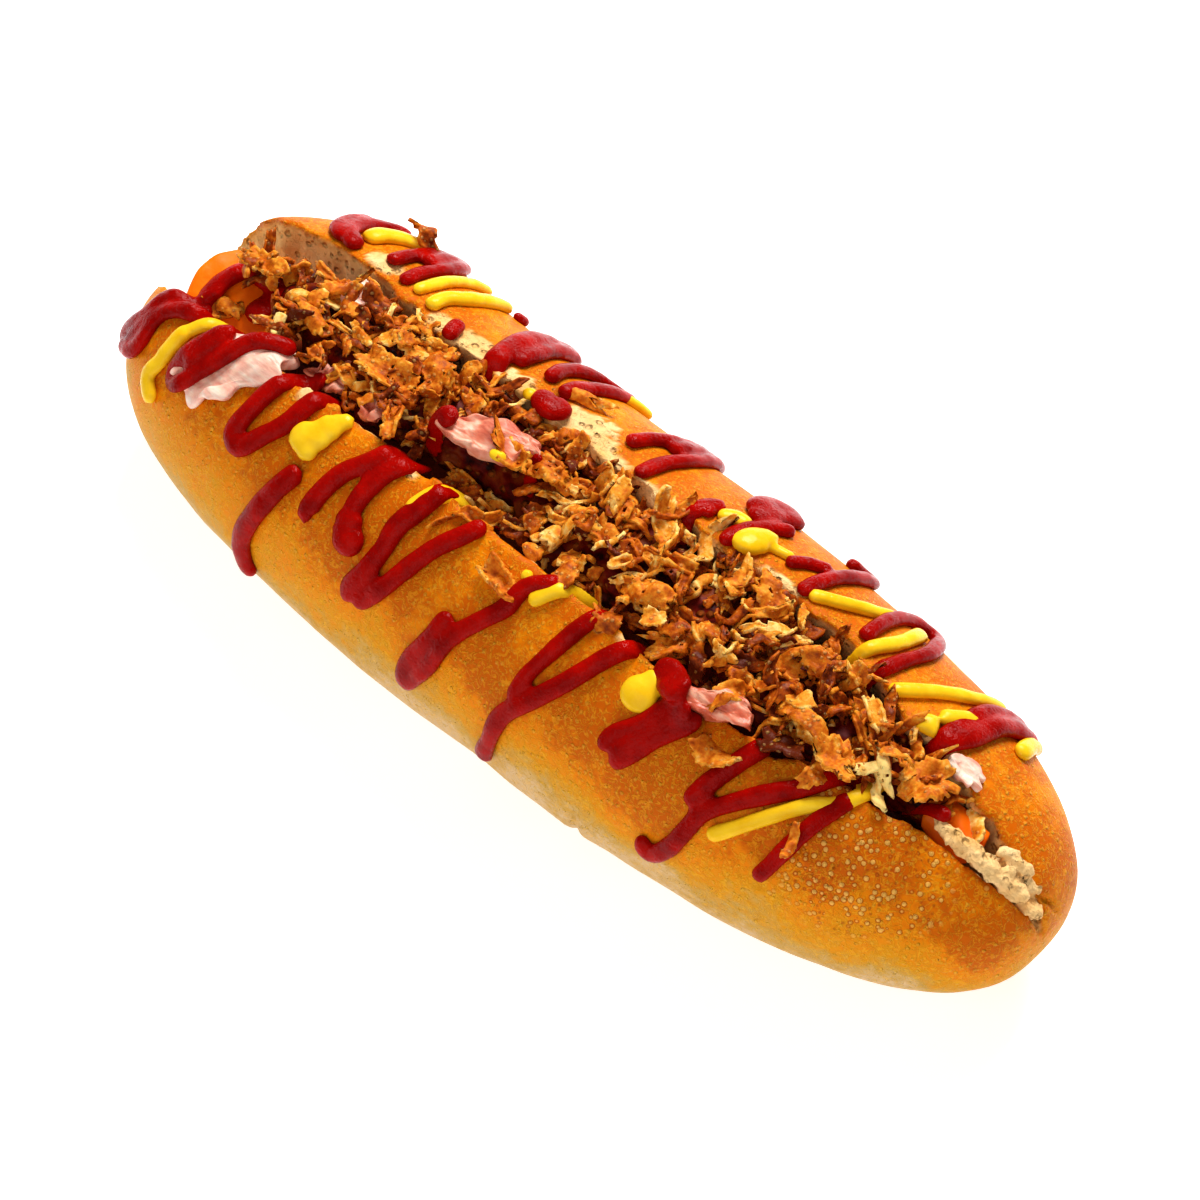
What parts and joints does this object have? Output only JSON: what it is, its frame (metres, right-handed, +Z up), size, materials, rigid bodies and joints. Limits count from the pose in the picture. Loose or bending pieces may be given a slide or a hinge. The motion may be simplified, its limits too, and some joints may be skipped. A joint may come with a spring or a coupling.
{
  "type": "hot dog",
  "caption": "Crusty baguette roll cut open along its top, filled with sausage, cheese and ham under crisp fried onions, with ketchup and mustard zigzags.",
  "frame": {"origin": "middle of the flat underside of the roll", "axes": "+X along the roll from its open end to its closed end, -Y towards the near side, +Z up"},
  "size_m": [0.2499, 0.0901, 0.0623],
  "materials": {
    "crust": "baked crust, browned on top and pale below",
    "sausage": "moist",
    "cheese": "smooth, slightly oily",
    "ham": "moist, fibrous",
    "onion": "crisp, fried",
    "ketchup": "wet",
    "mustard": "wet"
  },
  "bodies": {
    "root": {"roll": "crust", "sausage": "sausage", "cheese_left": "cheese", "cheese_right": "cheese", "cheese_tip": "cheese", "ham_left": "ham", "ham_fold": "ham", "ham_curl": "ham", "ham_middle": "ham", "ham_right": "ham", "ham_white": "ham", "ham_tip": "ham", "onion_heap": "onion"}
  },
  "joints": []
}
